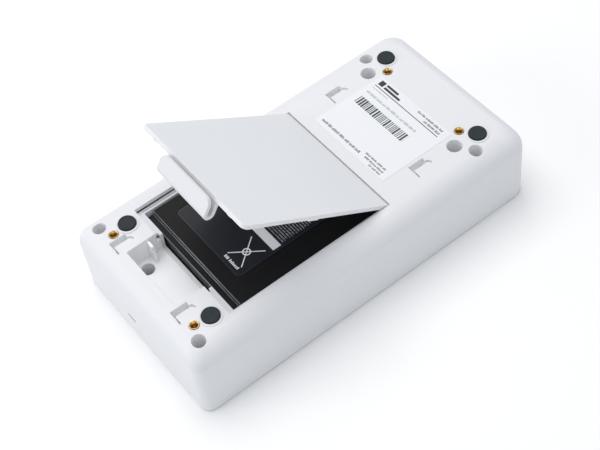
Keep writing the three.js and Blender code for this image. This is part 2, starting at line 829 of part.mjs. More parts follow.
function contactHarness() {
  const start = new THREE.Vector3(0, bayFarY + 9.6 + gap, bayFloorZ + 6);
  const end = new THREE.Vector3(0, boardNearY + 12.2, boardTopZ + 5.5 + gap);
  const path = new THREE.CatmullRomCurve3([
    start,
    new THREE.Vector3(0, start.y + 2.4, start.z + 0.2),
    new THREE.Vector3(0, start.y + 5.2, start.z - 1.4),
    new THREE.Vector3(0, end.y, end.z + 2.2),
    end,
  ]);
  const section = new THREE.Shape();
  section.absarc(0, 0, 1.4, 0, 2 * Math.PI);
  const settings = { steps: 14, bevelEnabled: false, extrudePath: path, curveSegments: 4 };
  return toSolid(new THREE.ExtrudeGeometry(section, settings));
}

function powerCoil() {
  const farY = boardFarY - 8;
  return slab(roundedOutline(-24, -12, farY - 12, farY, 2), boardTopZ + gap, boardTopZ + 6.3);
}

function controlChip() {
  return block(9, 19, boardNearY + 3, boardNearY + 9, boardTopZ + gap, boardTopZ + 2);
}

function filterCapacitor() {
  return post(17, boardFarY - 12, boardTopZ + gap, boardTopZ + 12, 4);
}

// ---- Assembly ----

const base = new THREE.Group();

const caseGroup = new THREE.Group();
caseGroup.add(toMesh("bottom_case", bottomCase(), whiteCase));
caseGroup.add(toMesh("top_cover", topCover(), whiteCase));
caseGroup.add(toMesh("battery_tray", batteryTray(), whiteCase));
const corners = ["near_left", "near_right", "far_left", "far_right"];
feet.forEach(([x, y], i) => caseGroup.add(toMesh(`foot_${corners[i]}`, rubberFoot(x, y), slateRubber)));
inserts.forEach(([x, y], i) => caseGroup.add(toMesh(`insert_${corners[i]}`, threadedInsert(x, y), brass)));
cornerScrews.forEach(([x, y], i) => {
  const screw = crossScrew(x, y, screwSeatZ, screwHead, 2.2, screwShank, 6);
  caseGroup.add(toMesh(`case_screw_${corners[i]}`, screw, steel));
});
const middleScrew = crossScrew(...pocketScrew, screwSeatZ, screwHead, 2.2, screwShank, 6);
caseGroup.add(toMesh("case_screw_pocket", middleScrew, steel));
printerScrews.forEach(([x, y], i) => {
  const screw = crossScrew(x, y, printerSeatZ, printerHead, 3.6, printerShank, 1);
  caseGroup.add(toMesh(`printer_screw_${["left", "right"][i]}`, screw, steel));
});
caseGroup.add(toMesh("rating_label", ratingLabel(), labelFilm));
base.add(caseGroup);

const electronics = new THREE.Group();
electronics.add(toMesh("main_board", mainBoard(), boardGreen));
boardPosts.forEach(([x, y], i) => {
  electronics.add(toMesh(`board_screw_${i + 1}`, boardScrew(x, y), steel));
});
electronics.add(toMesh("docking_connector", dockingConnector(), blackPart));
for (let i = 0; i < dockContacts; i++) {
  electronics.add(toMesh(`docking_contact_${i + 1}`, dockingContact(i), nickel));
}
electronics.add(toMesh("battery_contact_block", contactBlock(), blackPart));
for (let i = 0; i < bayContacts; i++) {
  electronics.add(toMesh(`battery_contact_${i + 1}`, bayContact(i), nickel));
}
electronics.add(toMesh("harness_plug", harnessPlug(), labelFilm));
electronics.add(toMesh("contact_harness", contactHarness(), wireSleeve));
electronics.add(toMesh("power_coil", powerCoil(), blackPart));
electronics.add(toMesh("control_chip", controlChip(), blackPart));
electronics.add(toMesh("filter_capacitor", filterCapacitor(), blackPart));
base.add(electronics);

const pack = new THREE.Group();
pack.add(toMesh("pack_lower_shell", packLower(), blackShell));
pack.add(toMesh("pack_upper_shell", packUpper(), blackShell));
pack.add(toMesh("pack_label", packLabel(), packFilm));
for (let i = 0; i < cellCount; i++) pack.add(toMesh(`cell_${i + 1}`, cell(i), cellSleeve));
pack.add(toMesh("cell_strap_near", cellStrap(cellNearY - 0.5), nickel));
pack.add(toMesh("cell_strap_far", cellStrap(cellFarY + 0.5), nickel));
pack.add(toMesh("pack_board", packBoard(), boardGreen));
pack.add(toMesh("pack_terminals", packTerminals(), blackPart));
base.add(pack);

const door = new THREE.Group();
door.position.set(0, hingeY, hingeZ);
door.rotation.x = THREE.MathUtils.degToRad(-doorOpenDeg);
door.add(toMesh("battery_door", batteryDoor(), whiteDoor));
door.add(toMesh("door_latch", doorLatch(), whiteCase));
base.add(door);

export default base;
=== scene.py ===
import json
import math
import random

import bmesh
import bpy
from mathutils import Euler, Matrix, Vector


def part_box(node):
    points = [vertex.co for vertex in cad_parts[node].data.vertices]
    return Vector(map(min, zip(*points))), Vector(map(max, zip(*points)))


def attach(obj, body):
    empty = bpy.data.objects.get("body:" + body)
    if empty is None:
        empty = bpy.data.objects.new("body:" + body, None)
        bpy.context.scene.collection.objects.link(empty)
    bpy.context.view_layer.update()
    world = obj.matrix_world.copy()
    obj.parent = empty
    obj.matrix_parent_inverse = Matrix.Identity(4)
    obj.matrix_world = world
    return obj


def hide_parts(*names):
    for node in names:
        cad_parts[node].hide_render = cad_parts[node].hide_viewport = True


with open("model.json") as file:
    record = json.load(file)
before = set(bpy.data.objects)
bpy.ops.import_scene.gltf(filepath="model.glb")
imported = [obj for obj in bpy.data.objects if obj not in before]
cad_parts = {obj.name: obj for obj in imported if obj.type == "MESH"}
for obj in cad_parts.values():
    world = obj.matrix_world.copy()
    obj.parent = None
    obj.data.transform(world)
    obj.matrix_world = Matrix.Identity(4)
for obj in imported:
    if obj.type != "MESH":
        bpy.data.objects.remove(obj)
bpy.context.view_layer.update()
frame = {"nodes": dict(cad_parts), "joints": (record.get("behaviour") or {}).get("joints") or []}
mm = 0.001
hinges = {j["name"]: j for j in frame["joints"]}
caseLow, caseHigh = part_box("bottom_case")
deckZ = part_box("rating_label")[0].z - 0.03 * mm   # the label lies a hair above the flat underside


# helpers

def clearSelection():
    if bpy.context.mode != "OBJECT":
        bpy.ops.object.mode_set(mode="OBJECT")
    bpy.ops.object.select_all(action="DESELECT")


def makeActive(piece):
    clearSelection()
    piece.select_set(True)
    bpy.context.view_layer.objects.active = piece


def settle(piece):
    # the object goes to the origin and its place into its mesh
    makeActive(piece)
    bpy.ops.object.transform_apply(location=True, rotation=True, scale=True)


def newBlock(name, low, high):
    clearSelection()
    size = Vector(high) - Vector(low)
    middle = (Vector(high) + Vector(low)) / 2
    bpy.ops.mesh.primitive_cube_add(size=1, location=middle)
    piece = bpy.context.object
    piece.name = name
    piece.scale = size
    settle(piece)
    return piece


def newRod(name, radius, start, end, sides=32):
    clearSelection()
    start, end = Vector(start), Vector(end)
    along = end - start
    bpy.ops.mesh.primitive_cylinder_add(
        radius=radius, depth=along.length, vertices=sides, location=(start + end) / 2,
        rotation=along.to_track_quat("Z", "Y").to_euler())
    piece = bpy.context.object
    piece.name = name
    settle(piece)
    return piece


def selectIn(piece, faces=None, edges=None, points=None):
    # opens edit mode with only what passes the test selected
    makeActive(piece)
    bpy.ops.object.mode_set(mode="EDIT")
    kind = "FACE" if faces else "EDGE" if edges else "VERT"
    bpy.ops.mesh.select_mode(type=kind)
    bpy.ops.mesh.select_all(action="DESELECT")
    work = bmesh.from_edit_mesh(piece.data)
    work.normal_update()
    if faces:
        for face in work.faces:
            if faces(face.calc_center_median(), face.normal):
                face.select_set(True)
    elif edges:
        for edge in work.edges:
            if edges(edge.verts[0].co, edge.verts[1].co):
                edge.select_set(True)
    else:
        for point in work.verts:
            if points(point.co):
                point.select_set(True)
    work.select_flush_mode()
    bmesh.update_edit_mesh(piece.data)


def objectMode():
    bpy.ops.object.mode_set(mode="OBJECT")


def applyModifier(piece, kind, **settings):
    makeActive(piece)
    step = piece.modifiers.new(kind.title(), kind)
    for key, value in settings.items():
        setattr(step, key, value)
    bpy.ops.object.modifier_apply(modifier=step.name)


def softenEdges(piece, width, segments=2, angle=35):
    applyModifier(piece, "BEVEL", width=width, segments=segments, limit_method="ANGLE",
                  angle_limit=math.radians(angle), use_clamp_overlap=True)


def smooth(piece, angle=30):
    makeActive(piece)
    bpy.ops.object.shade_smooth_by_angle(angle=math.radians(angle))
    weighted = piece.modifiers.new("Weighted", "WEIGHTED_NORMAL")
    weighted.keep_sharp = True
    bpy.ops.object.modifier_apply(modifier=weighted.name)


def cutAway(piece, cutter):
    applyModifier(piece, "BOOLEAN", operation="DIFFERENCE", solver="EXACT", object=cutter)
    bpy.data.objects.remove(cutter)


def joinOn(piece, addition):
    applyModifier(piece, "BOOLEAN", operation="UNION", solver="EXACT", object=addition)
    bpy.data.objects.remove(addition)


def together(pieces, name):
    clearSelection()
    for piece in pieces:
        piece.select_set(True)
    bpy.context.view_layer.objects.active = pieces[0]
    if len(pieces) > 1:
        bpy.ops.object.join()
    pieces[0].name = name
    return pieces[0]


def outwards(piece, merge=0.00001):
    makeActive(piece)
    bpy.ops.object.mode_set(mode="EDIT")
    bpy.ops.mesh.select_all(action="SELECT")
    bpy.ops.mesh.remove_doubles(threshold=merge)
    bpy.ops.mesh.normals_make_consistent(inside=False)
    objectMode()


def copyAt(piece, name, move):
    twin = piece.copy()
    twin.data = piece.data.copy()
    twin.name = name
    bpy.context.collection.objects.link(twin)
    twin.data.transform(Matrix.Translation(Vector(move)))
    return twin


def refined(node, name, width, angle=35):
    # the node's own shape with its edges rounded over
    piece = frame["nodes"][node].copy()
    piece.data = piece.data.copy()
    piece.name = name
    for key in list(piece.keys()):
        del piece[key]
    bpy.context.collection.objects.link(piece)
    piece.parent = None
    makeActive(piece)
    bpy.ops.object.mode_set(mode="EDIT")
    bpy.ops.mesh.select_all(action="SELECT")
    bpy.ops.mesh.remove_doubles(threshold=0.00001)
    bpy.ops.mesh.dissolve_limited(angle_limit=math.radians(1))
    objectMode()
    if width:
        softenEdges(piece, width, angle=angle)
    smooth(piece)
    return piece


def wear(piece, material):
    piece.data.materials.clear()
    piece.data.materials.append(material)


def hand(piece, body, material, nodes=()):
    # the finished piece gets its finish, its body and the nodes that it stands for
    wear(piece, material)
    if nodes:
        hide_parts(*nodes)
    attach(piece, body)


def refinish(piece, material, faces):
    # a second finish on the faces that pass the test
    piece.data.materials.append(material)
    selectIn(piece, faces=faces)
    piece.active_material_index = len(piece.data.materials) - 1
    bpy.ops.object.material_slot_assign()
    objectMode()


# finishes

def newMaterial(name):
    material = bpy.data.materials.new(name)
    material.use_nodes = True
    return material, material.node_tree.nodes, material.node_tree.links


def srgb(red, green, blue):
    def channel(value):
        value = value / 255
        return value / 12.92 if value <= 0.04045 else ((value + 0.055) / 1.055) ** 2.4
    return (channel(red), channel(green), channel(blue), 1)


def speckle(nodes, links, scale, detail=2.0, rough=0.5, stretch=(1, 1, 1)):
    place = nodes.new("ShaderNodeTexCoord")
    mapping = nodes.new("ShaderNodeMapping")
    mapping.inputs["Scale"].default_value = stretch
    noise = nodes.new("ShaderNodeTexNoise")
    noise.inputs["Scale"].default_value = scale
    noise.inputs["Detail"].default_value = detail
    noise.inputs["Roughness"].default_value = rough
    links.new(place.outputs["Object"], mapping.inputs["Vector"])
    links.new(mapping.outputs["Vector"], noise.inputs["Vector"])
    return noise.outputs["Fac"]


def span(nodes, links, value, low, high, fromLow=0.0, fromHigh=1.0):
    reach = nodes.new("ShaderNodeMapRange")
    reach.inputs["From Min"].default_value = fromLow
    reach.inputs["From Max"].default_value = fromHigh
    reach.inputs["To Min"].default_value = low
    reach.inputs["To Max"].default_value = high
    links.new(value, reach.inputs["Value"])
    return reach.outputs["Result"]


def tint(nodes, links, factor, first, second):
    blend = nodes.new("ShaderNodeMix")
    blend.data_type = "RGBA"
    blend.inputs[6].default_value = first
    blend.inputs[7].default_value = second
    links.new(factor, blend.inputs[0])
    return blend.outputs[2]


def relief(nodes, links, shader, height, strength, distance):
    bump = nodes.new("ShaderNodeBump")
    bump.inputs["Strength"].default_value = strength
    bump.inputs["Distance"].default_value = distance
    links.new(height, bump.inputs["Height"])
    links.new(bump.outputs["Normal"], shader.inputs["Normal"])
    return bump


def mouldedPlastic(name, settings):
    # spark-eroded moulding grain, a slow drift of colour and slightly uneven gloss
    material, nodes, links = newMaterial(name)
    shader = nodes["Principled BSDF"]
    cloud = speckle(nodes, links, settings["driftScale"], detail=3)
    base = tint(nodes, links, cloud, srgb(*settings["colour"]), srgb(*settings["drift"]))
    links.new(base, shader.inputs["Base Color"])
    grain = speckle(nodes, links, settings["grainScale"], detail=4, rough=0.6)
    gloss = span(nodes, links, grain, settings["rough"] - 0.06, settings["rough"] + 0.06, 0.3, 0.7)
    links.new(gloss, shader.inputs["Roughness"])
    relief(nodes, links, shader, grain, settings["grainStrength"], settings["grainDepth"] * mm)
    shader.inputs["IOR"].default_value = 1.49
    shader.inputs["Specular IOR Level"].default_value = settings.get("shine", 0.5)
    return material


whiteGrain = {"driftScale": 22, "grainScale": 2600, "rough": 0.5, "grainStrength": 0.35, "grainDepth": 0.03}
whitePlastic = mouldedPlastic("whiteCasePlastic", {
    **whiteGrain, "colour": (228, 228, 231), "drift": (225, 226, 229)})
# painted light: a brighter copy of the white case plastic that cancels the shade inside the recesses
recessPaintedLight = mouldedPlastic("whiteRecessPaintedLight", {
    **whiteGrain, "colour": (250, 250, 251), "drift": (247, 247, 249)})
# painted light: the door's plastic is a touch lighter than the case's, standing in for light its tilted
# outer face misses
doorPlasticPaintedLight = mouldedPlastic("whiteDoorPlasticPaintedLight", {
    **whiteGrain, "colour": (231, 232, 234), "drift": (228, 229, 232), "rough": 0.46})
latchPlastic = mouldedPlastic("whiteLatchPlastic", {
    **whiteGrain, "colour": (224, 224, 227), "drift": (221, 222, 225), "rough": 0.45})
blackPlastic = mouldedPlastic("blackPackPlastic", {
    "driftScale": 30, "grainScale": 2200, "rough": 0.44, "grainStrength": 0.4, "grainDepth": 0.03,
    "shine": 0.2, "colour": (11, 11, 12), "drift": (15, 15, 17)})
# painted highlight: a light grey finish that stands in for the light caught on the pack's near top edge and
# ledge edge
packEdgeHighlight = mouldedPlastic("paintedEdgeHighlight", {
    "driftScale": 260, "grainScale": 1500, "rough": 0.3, "grainStrength": 0.2, "grainDepth": 0.02,
    "colour": (150, 156, 160), "drift": (84, 90, 96)})
labelFilm = mouldedPlastic("labelFilm", {
    "driftScale": 30, "grainScale": 900, "rough": 0.34, "grainStrength": 0.12, "grainDepth": 0.02,
    "colour": (233, 234, 237), "drift": (231, 232, 236)})
packFilm = mouldedPlastic("packFilm", {
    "driftScale": 30, "grainScale": 900, "rough": 0.36, "grainStrength": 0.12, "grainDepth": 0.02,
    "shine": 0.3, "colour": (20, 21, 30), "drift": (24, 25, 35)})
# black plastic of the connectors, also used as painted shade on the walls of the slit in the near wall
blackPartAndSlitShade = mouldedPlastic("blackConnectorAndSlitShade", {
    "driftScale": 40, "grainScale": 1800, "rough": 0.4, "grainStrength": 0.3, "grainDepth": 0.02,
    "colour": (26, 26, 27), "drift": (32, 32, 33)})
creamPlug = mouldedPlastic("creamPlug", {
    "driftScale": 60, "grainScale": 1500, "rough": 0.45, "grainStrength": 0.2, "grainDepth": 0.02,
    "colour": (226, 220, 200), "drift": (218, 212, 192)})
redSleeve = mouldedPlastic("wireSleeve", {
    "driftScale": 90, "grainScale": 1200, "rough": 0.5, "grainStrength": 0.2, "grainDepth": 0.02,
    "colour": (160, 44, 38), "drift": (142, 36, 32)})
cellSleeve = mouldedPlastic("cellSleeve", {
    "driftScale": 45, "grainScale": 700, "rough": 0.32, "grainStrength": 0.15, "grainDepth": 0.02,
    "colour": (52, 110, 168), "drift": (44, 98, 154)})
canFinish = mouldedPlastic("capacitorCan", {
    "driftScale": 70, "grainScale": 900, "rough": 0.3, "grainStrength": 0.15, "grainDepth": 0.02,
    "colour": (36, 38, 46), "drift": (30, 32, 40)})


def rubberFinish():
    material, nodes, links = newMaterial("slateRubber")
    shader = nodes["Principled BSDF"]
    dust = speckle(nodes, links, 320, detail=5, rough=0.65)
    base = tint(nodes, links, span(nodes, links, dust, 0, 1, 0.35, 0.75),
                srgb(33, 40, 46), srgb(44, 51, 57))
    links.new(base, shader.inputs["Base Color"])
    shader.inputs["Roughness"].default_value = 0.82
    relief(nodes, links, shader, speckle(nodes, links, 1500, detail=3), 0.5, 0.05 * mm)
    return material


def metalFinish(name, colour, dark, rough, scale):
    material, nodes, links = newMaterial(name)
    shader = nodes["Principled BSDF"]
    shader.inputs["Metallic"].default_value = 1.0
    turn = speckle(nodes, links, scale, detail=3, stretch=(1, 1, 6))
    base = tint(nodes, links, span(nodes, links, turn, 0, 1, 0.35, 0.65), srgb(*colour), srgb(*dark))
    links.new(base, shader.inputs["Base Color"])
    links.new(span(nodes, links, turn, rough - 0.08, rough + 0.1), shader.inputs["Roughness"])
    relief(nodes, links, shader, turn, 0.25, 0.03 * mm)
    return material


rubber = rubberFinish()
brass = metalFinish("turnedBrass", (240, 214, 160), (205, 168, 110), 0.3, 900)
steel = metalFinish("zincPlatedSteel", (176, 178, 182), (140, 143, 148), 0.34, 900)
nickel = metalFinish("nickelPlate", (205, 200, 190), (184, 178, 168), 0.25, 700)


# camera, floor and light

view = {"aim": (21.9, -18.6), "azimuth": 58.73, "elevation": 52.57, "distance": 646.1, "roll": 8.2,
        "lens": 78.48}


def addCamera():
    azimuth, elevation = math.radians(view["azimuth"]), math.radians(view["elevation"])
    aim = Vector((view["aim"][0] * mm, view["aim"][1] * mm, deckZ))
    back = Vector((math.sin(azimuth) * math.cos(elevation),
                   -math.cos(azimuth) * math.cos(elevation), math.sin(elevation)))
    clearSelection()
    bpy.ops.object.camera_add(location=aim + back * view["distance"] * mm)
    camera = bpy.context.object
    camera.data.lens = view["lens"]
    camera.data.clip_start = 0.01
    turn = (-back).to_track_quat("-Z", "Y").to_matrix().to_4x4()
    turn = turn @ Matrix.Rotation(math.radians(-view["roll"]), 4, "Z")
    camera.rotation_euler = turn.to_euler()
    bpy.context.scene.camera = camera


studio = {"world": 0.5, "worldColour": (0.9, 0.95, 1.0, 1), "floor": (252, 252, 252),
          "key": {"at": (-0.5, -1.4, 0.55), "size": 0.8, "power": 5.7, "colour": (1, 1, 1)},
          "fill": {"at": (1.3, -0.2, 0.45), "size": 0.8, "power": 1.4, "colour": (1, 1, 1)},
          "top": {"at": (-0.33, 0.0, 1.25), "size": 1.2, "power": 11.3, "colour": (1, 0.98, 0.965)}}


def addStudio():
    clearSelection()
    bpy.ops.mesh.primitive_plane_add(size=12, location=(0, 0, caseLow.z))
    floor = bpy.context.object
    floor.name = "floor"
    material, nodes, links = newMaterial("paleFloor")
    shader = nodes["Principled BSDF"]
    paper = speckle(nodes, links, 40, detail=3)
    links.new(tint(nodes, links, paper, srgb(*studio["floor"]), srgb(252, 252, 252)),
              shader.inputs["Base Color"])
    shader.inputs["Roughness"].default_value = 0.9
    wear(floor, material)
    world = bpy.data.worlds.new("softStudio")
    world.use_nodes = True
    sky = world.node_tree.nodes["Background"]
    sky.inputs["Color"].default_value = studio["worldColour"]
    sky.inputs["Strength"].default_value = studio["world"]
    bpy.context.scene.world = world
    for name in ("key", "fill", "top"):
        lamp = studio[name]
        place = Vector(lamp["at"])
        bpy.ops.object.light_add(type="AREA", location=place)
        light = bpy.context.object
        light.name = name + "Light"
        light.data.shape = "SQUARE"
        light.data.size = lamp["size"]
        light.data.energy = lamp["power"]
        light.data.color = lamp["colour"]
        aim = Vector((0, 0, deckZ)) - place
        light.rotation_euler = aim.to_track_quat("-Z", "Y").to_euler()
    bpy.context.scene.view_settings.view_transform = "Standard"


addCamera()
addStudio()
print("camera, floor and light ready")


# white case

caseShape = {"edge": 0.25, "coverEdge": 0.2, "slit": (-11.5, -4.1, 14.5, 15.5), "slitDeep": 6,
             "rib": (-22.2, -16.3, -82.05, -80.45, 1.5), "ribDepth": 14, "ribRound": 1.5, "ribEdge": 0.3,
             "rim": 3.5}


def closeGap(piece, points, move):
    # brings the points of one wall face up to their neighbour
    selectIn(piece, points=points)
    bpy.ops.transform.translate(value=Vector(move) * mm)
    objectMode()


def makeCase():
    shell = refined("bottom_case", "caseShell", caseShape["edge"] * mm)
    x0, x1, z0, z1 = (value * mm for value in caseShape["slit"])
    slitFar = caseLow.y + caseShape["slitDeep"] * mm
    cutAway(shell, newBlock("slit", (x0, caseLow.y - mm, z0), (x1, slitFar, z1)))
    left, right, near, far, drop = (value * mm for value in caseShape["rib"])
    rib = newBlock("rib", (left, near, deckZ - caseShape["ribDepth"] * mm), (right, far, deckZ - drop))
    selectIn(rib, edges=lambda a, b: min(a.x, b.x) > right - 0.01 * mm and min(a.z, b.z) > deckZ - 2 * drop)
    bpy.ops.mesh.bevel(offset=caseShape["ribRound"] * mm, segments=5, affect="EDGES")
    objectMode()
    softenEdges(rib, caseShape["ribEdge"] * mm, segments=3)
    joinOn(shell, rib)
    smooth(shell)
    hand(shell, "case", whitePlastic, ["bottom_case"])
    reach = caseHigh - Vector((1, 1, 0)) * caseShape["rim"] * mm
    # painted light: walls and floors of the pockets, slots and wells below the deck get the brighter copy,
    # offsetting their shade
    refinish(shell, recessPaintedLight, lambda c, n: c.z < deckZ - 0.3 * mm and abs(c.x) < reach.x
             and abs(c.y) < reach.y and (abs(n.z) < 0.1 or n.z > 0.97))
    # painted shade: the slit's own white walls get the black plastic finish, so the slit reads dark
    refinish(shell, blackPartAndSlitShade, lambda c, n: x0 < c.x < x1 and z0 - 0.1 * mm < c.z < z1 + 0.1 * mm
             and c.y < slitFar + mm and n.y > -0.2)
    cover = refined("top_cover", "printerSideCover", caseShape["coverEdge"] * mm)
    hand(cover, "case", whitePlastic, ["top_cover"])


trayShape = {"edge": 0.15, "sideOut": 0.36, "wall": 1.6, "wallTop": 31.2, "wallOut": 0.28}


def makeTray():
    low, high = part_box("battery_tray")
    tray = refined("battery_tray", "bayTray", 0)
    for side in (-1, 1):
        closeGap(tray, lambda p: p.x * side > high.x - 0.02 * mm, (trayShape["sideOut"] * side, 0, 0))
    wallY = low.y + trayShape["wall"] * mm
    wallTop = trayShape["wallTop"] * mm
    closeGap(tray, lambda p: abs(p.y - wallY) < 0.05 * mm and p.z < wallTop, (0, -trayShape["wallOut"], 0))
    softenEdges(tray, trayShape["edge"] * mm)
    smooth(tray)
    hand(tray, "case", whitePlastic, ["battery_tray"])


makeCase()
makeTray()
print("case and tray ready")


# rubber feet

footShape = {"round": 0.5, "dish": 0.12, "dishInset": 0.9, "sides": 64}


def makeFeet():
    names = [n for n in frame["nodes"] if n.startswith("foot_")]
    low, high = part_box(names[0])
    radius = (high.x - low.x) / 2
    middle = (low + high) / 2
    foot = newRod("footPad", radius, (middle.x, middle.y, low.z), (middle.x, middle.y, high.z),
                  footShape["sides"])
    selectIn(foot, faces=lambda c, n: n.z > 0.9)
    bpy.ops.mesh.bevel(offset=footShape["round"] * mm, segments=4, affect="EDGES")
    objectMode()
    selectIn(foot, faces=lambda c, n: n.z > 0.99 and c.z > high.z - 0.01 * mm)
    bpy.ops.mesh.inset(thickness=footShape["dishInset"] * mm)
    bpy.ops.mesh.inset(thickness=0.25 * mm, depth=-footShape["dish"] * mm)
    objectMode()
    smooth(foot)
    for name in names:
        spot = (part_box(name)[0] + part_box(name)[1]) / 2
        piece = foot if name == names[0] else copyAt(foot, "x", spot - middle)
        piece.name = name.replace("foot_", "rubber_foot_")
        hand(piece, "case", rubber, [name])


makeFeet()
print("feet ready")


# brass inserts

insertShape = {"rim": 0.22, "coneDepth": 1.1, "bore": 1.3, "thread": 0.16, "pitch": 0.5, "turns": 8}


def scaleTop(factor, centre):
    bpy.ops.transform.resize(value=(factor, factor, 1), center_override=centre)


def makeInserts():
    names = [n for n in frame["nodes"] if n.startswith("insert_")]
    low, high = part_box(names[0])
    middle = (low + high) / 2
    radius = (high.x - low.x) / 2
    bore = insertShape["bore"] * mm
    insert = newRod("insertSleeve", radius, (middle.x, middle.y, low.z), (middle.x, middle.y, high.z), 48)
    selectIn(insert, faces=lambda c, n: n.z > 0.9)
    bpy.ops.mesh.inset(thickness=insertShape["rim"] * mm)
    bpy.ops.mesh.extrude_region_move(
        TRANSFORM_OT_translate={"value": (0, 0, -insertShape["coneDepth"] * mm)})
    scaleTop(bore / (radius - insertShape["rim"] * mm), middle)
    deeper = (bore + insertShape["thread"] * mm) / bore
    for turn in range(insertShape["turns"]):   # each turn of the thread out and in again
        for factor in (deeper, 1 / deeper):
            bpy.ops.mesh.extrude_region_move(
                TRANSFORM_OT_translate={"value": (0, 0, -insertShape["pitch"] / 2 * mm)})
            scaleTop(factor, middle)
    objectMode()
    softenEdges(insert, 0.05 * mm, segments=1, angle=60)
    smooth(insert, 40)
    for name in names:
        spot = (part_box(name)[0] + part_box(name)[1]) / 2
        piece = insert if name == names[0] else copyAt(insert, "x", spot - middle)
        piece.name = name.replace("insert_", "brass_insert_")
        hand(piece, "case", brass, [name])


makeInserts()
print("inserts ready")


# cross-head screws

screwShape = {"head": 2.0, "dome": 0.55, "arm": 0.34, "armLong": 0.62, "recess": 1.2, "shank": 0.5,
              "edge": 0.06}


def makeScrews(names, label):
    low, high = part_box(names[0])
    middle = (low + high) / 2
    radius = (high.x - low.x) / 2
    headLow = high.z - screwShape["head"] * mm
    head = newRod(label, radius, (middle.x, middle.y, headLow), (middle.x, middle.y, high.z), 48)
    selectIn(head, faces=lambda c, n: n.z > 0.9)
    bpy.ops.mesh.bevel(offset=screwShape["dome"] * mm, segments=5, affect="EDGES")
    objectMode()
    for along, across in (("armLong", "arm"), ("arm", "armLong")):
        along, across = screwShape[along], screwShape[across]
        arm = Vector((along * radius, across * radius, 0))
        base = Vector((middle.x, middle.y, high.z - screwShape["recess"] * mm))
        slot = newBlock("slot", base - arm, base + arm + Vector((0, 0, 4 * mm)))
        cutAway(head, slot)
    shank = newRod("shank", radius * screwShape["shank"], (middle.x, middle.y, low.z),
                   (middle.x, middle.y, headLow + 0.2 * mm), 24)
    joinOn(head, shank)
    softenEdges(head, screwShape["edge"] * mm, segments=2, angle=50)
    smooth(head, 40)
    for name in names:
        lowHere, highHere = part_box(name)
        spot = Vector(((lowHere.x + highHere.x) / 2 - middle.x, (lowHere.y + highHere.y) / 2 - middle.y,
                       highHere.z - high.z))
        piece = head if name == names[0] else copyAt(head, "x", spot)
        piece.name = "steel_" + name
        hand(piece, "case", steel, [name])


makeScrews([n for n in frame["nodes"] if n.startswith("case_screw_")], "caseScrew")
makeScrews([n for n in frame["nodes"] if n.startswith("printer_screw_")], "printerScrew")
print("screws ready")


# printing

def inkFinish(name, colour, rough):
    material, nodes, links = newMaterial(name)
    shader = nodes["Principled BSDF"]
    patchy = speckle(nodes, links, 1800, detail=3)
    lighter = tuple(min(255, c + 16) for c in colour)
    links.new(tint(nodes, links, patchy, srgb(*colour), srgb(*lighter)), shader.inputs["Base Color"])
    shader.inputs["Roughness"].default_value = rough
    return material


darkInk = inkFinish("darkInk", (34, 36, 38), 0.5)
greyInk = inkFinish("greyInk", (96, 100, 102), 0.5)
codeInk = inkFinish("codeInk", (54, 60, 60), 0.5)
paleInk = inkFinish("paleInk", (168, 171, 174), 0.5)
whiteInk = inkFinish("whiteInk", (238, 239, 242), 0.45)
dimInk = inkFinish("dimInk", (44, 46, 54), 0.45)


def printBars(name, bars, surface, body, ink):
    # flat bars of ink, each [x0, x1, y0, y1] in millimetres, on a surface at this height
    stamp = newBlock("stamp", (-0.5, -0.5, 0), (0.5, 0.5, 1))
    made = []
    for x0, x1, y0, y1 in bars:
        place = Matrix.Translation(((x0 + x1) / 2 * mm, (y0 + y1) / 2 * mm, surface + 0.004 * mm))
        size = Matrix.Diagonal(((x1 - x0) * mm, (y1 - y0) * mm, 0.016 * mm, 1))
        bar = copyAt(stamp, "bar", (0, 0, 0))
        bar.data.transform(place @ size)
        made.append(bar)
    bpy.data.objects.remove(stamp)
    piece = together(made, name)
    hand(piece, body, ink)
    return piece


def wordRow(x0, x1, y, height, seed, glyph=0.75, word=5):
    # a row of small blocks in groups, like print too fine to read
    chance = random.Random(seed)
    bars = []
    x, left = x0, chance.randint(3, word)
    while x < x1 - glyph * 0.6:
        wide = glyph * chance.uniform(0.6, 1.05)
        drop = height * chance.choice((0, 0, 0.25))
        bars.append([x, min(x + wide, x1), y - height / 2, y + height / 2 - drop])
        left -= 1
        x += wide + glyph * (0.35 if left else 1.1)
        left = left or chance.randint(3, word + 2)
    return bars


def codeBars(x0, x1, y0, y1, seed):
    chance = random.Random(seed)
    bars, x = [], x0
    while x < x1:
        wide = chance.choice((0.5, 0.5, 0.8, 1.2))
        bars.append([x, min(x + wide, x1), y0, y1])
        x += wide + chance.choice((0.5, 0.5, 0.6, 0.8))
    return bars


# rating label

ratingShape = {"corner": 1.0, "rule": (-25.5, 24.2, 69.2, 0.45), "code": (-24, 14.3, 53.3, 59),
               "blocks": [[-25, -21.6, 70.6, 74.2], [-20.4, -8, 70.6, 72.0], [-20.4, -11.5, 72.8, 74.2]],
               "rows": ((4.5, 23.5, 73.6, 1.3, 3), (11.5, 23.5, 71.2, 1.3, 4), (-25, 6, 33.0, 1.5, 5)),
               "smallRows": ((8, 24, 35.3), (9.5, 24, 33.2), (15, 24, 31.2))}


def roundedSheet(name, low, high, corner):
    sheet = newBlock(name, low, high)
    selectIn(sheet, edges=lambda a, b: abs(a.x - b.x) < 1e-7 and abs(a.y - b.y) < 1e-7)
    bpy.ops.mesh.bevel(offset=corner * mm, segments=8, affect="EDGES")
    objectMode()
    return sheet


